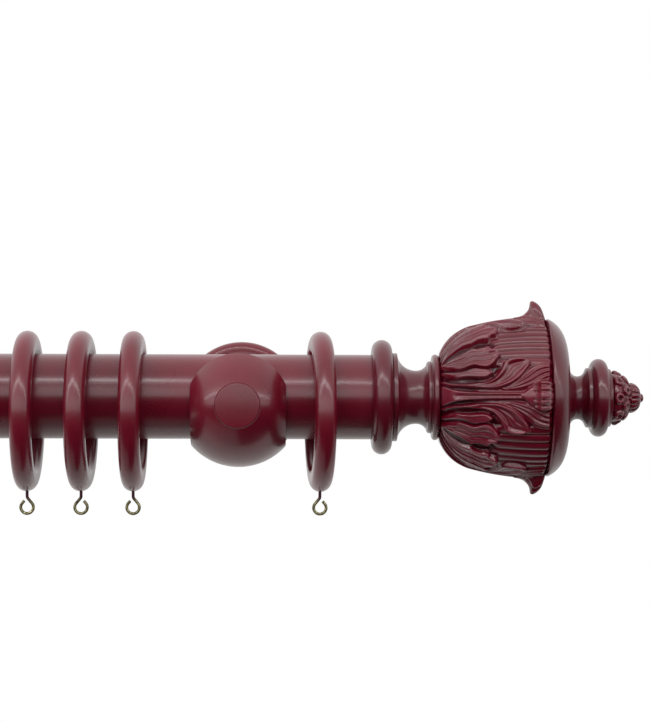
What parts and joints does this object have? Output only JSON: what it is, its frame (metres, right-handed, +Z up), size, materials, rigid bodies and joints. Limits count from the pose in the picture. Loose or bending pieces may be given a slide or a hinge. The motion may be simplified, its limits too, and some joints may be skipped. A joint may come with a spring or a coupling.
{
  "type": "curtain rod with brackets",
  "caption": "Round wooden curtain pole on ball-shaped cup brackets, with sliding rings on screw eyes and turned finials carved with curling leaves.",
  "frame": {"origin": "on the wall's face, at the centre of the four wall screw holes: midway between the two wall plates and level with their centres", "axes": "+X along the pole to the right-hand finial as seen from the room, +Y into the wall, +Z up"},
  "size_m": [1.51, 0.148, 0.128],
  "materials": {
    "lacquer": "satin wine-red lacquer on turned and carved wood",
    "bare_wood": "plain beech",
    "wire": "antique brass wire",
    "steel": "zinc-plated steel",
    "insert": "plain brass"
  },
  "bodies": {
    "brackets": {"right_bracket_wall_plate": "lacquer", "right_bracket_insert": "insert", "right_bracket_bolt": "steel", "right_bracket_stem": "lacquer", "right_bracket_cup": "lacquer", "right_bracket_button": "lacquer", "right_bracket_lock_screw": "steel", "left_bracket_wall_plate": "lacquer", "left_bracket_insert": "insert", "left_bracket_bolt": "steel", "left_bracket_stem": "lacquer", "left_bracket_cup": "lacquer", "left_bracket_button": "lacquer", "left_bracket_lock_screw": "steel"},
    "pole": {"pole": "lacquer", "right_finial_stud": "steel", "left_finial_stud": "steel"},
    "right_collar": {"right_finial_collar": "lacquer"},
    "right_finial": {"right_finial_insert": "insert", "right_finial_neck": "lacquer", "right_finial_peg": "bare_wood", "right_finial_leaf_cup": "lacquer", "right_finial_dome": "lacquer", "right_finial_knop": "lacquer", "right_finial_bud": "lacquer"},
    "left_collar": {"left_finial_collar": "lacquer"},
    "left_finial": {"left_finial_insert": "insert", "left_finial_neck": "lacquer", "left_finial_peg": "bare_wood", "left_finial_leaf_cup": "lacquer", "left_finial_dome": "lacquer", "left_finial_knop": "lacquer", "left_finial_bud": "lacquer"},
    "left_ring_outer": {"left_ring_outer": "lacquer", "left_ring_outer_eye": "wire"},
    "left_ring_1": {"left_ring_1": "lacquer", "left_ring_1_eye": "wire"},
    "left_ring_2": {"left_ring_2": "lacquer", "left_ring_2_eye": "wire"},
    "left_ring_3": {"left_ring_3": "lacquer", "left_ring_3_eye": "wire"},
    "left_ring_4": {"left_ring_4": "lacquer", "left_ring_4_eye": "wire"},
    "left_ring_5": {"left_ring_5": "lacquer", "left_ring_5_eye": "wire"},
    "right_ring_5": {"right_ring_5": "lacquer", "right_ring_5_eye": "wire"},
    "right_ring_4": {"right_ring_4": "lacquer", "right_ring_4_eye": "wire"},
    "right_ring_3": {"right_ring_3": "lacquer", "right_ring_3_eye": "wire"},
    "right_ring_2": {"right_ring_2": "lacquer", "right_ring_2_eye": "wire"},
    "right_ring_1": {"right_ring_1": "lacquer", "right_ring_1_eye": "wire"},
    "right_ring_outer": {"right_ring_outer": "lacquer", "right_ring_outer_eye": "wire"}
  },
  "joints": [
    {"name": "pole_lift", "type": "slide", "parent": "brackets", "child": "pole", "axis": [0, 0, 1], "range_m": [0, 0.06]},
    {"name": "right_collar_slide", "type": "slide", "parent": "pole", "child": "right_collar", "axis": [1, 0, 0], "range_m": [0, 0.024]},
    {"name": "right_finial_turn", "type": "hinge", "parent": "right_collar", "child": "right_finial", "pos_m": [0.62, -0.09, 0.0044], "axis": [1, 0, 0], "range_deg": [0, 2880]},
    {"name": "left_collar_slide", "type": "slide", "parent": "pole", "child": "left_collar", "axis": [-1, 0, 0], "range_m": [0, 0.024]},
    {"name": "left_finial_turn", "type": "hinge", "parent": "left_collar", "child": "left_finial", "pos_m": [-0.62, -0.09, 0.0044], "axis": [-1, 0, 0], "range_deg": [0, 2880]},
    {"name": "left_ring_outer_slide", "type": "slide", "parent": "pole", "child": "left_ring_outer", "axis": [1, 0, 0], "range_m": [-0.02, 0.01]},
    {"name": "left_ring_1_slide", "type": "slide", "parent": "pole", "child": "left_ring_1", "axis": [1, 0, 0], "range_m": [-0.0273, 0.0174]},
    {"name": "left_ring_2_slide", "type": "slide", "parent": "pole", "child": "left_ring_2", "axis": [1, 0, 0], "range_m": [-0.0174, 0.0177]},
    {"name": "left_ring_3_slide", "type": "slide", "parent": "pole", "child": "left_ring_3", "axis": [1, 0, 0], "range_m": [-0.0177, 0.1476]},
    {"name": "left_ring_4_slide", "type": "slide", "parent": "pole", "child": "left_ring_4", "axis": [1, 0, 0], "range_m": [-0.1476, 0.1405]},
    {"name": "left_ring_5_slide", "type": "slide", "parent": "pole", "child": "left_ring_5", "axis": [1, 0, 0], "range_m": [-0.1405, 0.1396]},
    {"name": "right_ring_5_slide", "type": "slide", "parent": "pole", "child": "right_ring_5", "axis": [1, 0, 0], "range_m": [-0.1396, 0.1405]},
    {"name": "right_ring_4_slide", "type": "slide", "parent": "pole", "child": "right_ring_4", "axis": [1, 0, 0], "range_m": [-0.1405, 0.1476]},
    {"name": "right_ring_3_slide", "type": "slide", "parent": "pole", "child": "right_ring_3", "axis": [1, 0, 0], "range_m": [-0.1476, 0.0177]},
    {"name": "right_ring_2_slide", "type": "slide", "parent": "pole", "child": "right_ring_2", "axis": [1, 0, 0], "range_m": [-0.0177, 0.0174]},
    {"name": "right_ring_1_slide", "type": "slide", "parent": "pole", "child": "right_ring_1", "axis": [1, 0, 0], "range_m": [-0.0174, 0.0273]},
    {"name": "right_ring_outer_slide", "type": "slide", "parent": "pole", "child": "right_ring_outer", "axis": [1, 0, 0], "range_m": [-0.01, 0.02]}
  ],
  "couplings": [
    {"joint": "right_collar_slide", "follows": "right_finial_turn", "m_per_rad": 0.00047746},
    {"joint": "left_collar_slide", "follows": "left_finial_turn", "m_per_rad": 0.00047746}
  ]
}
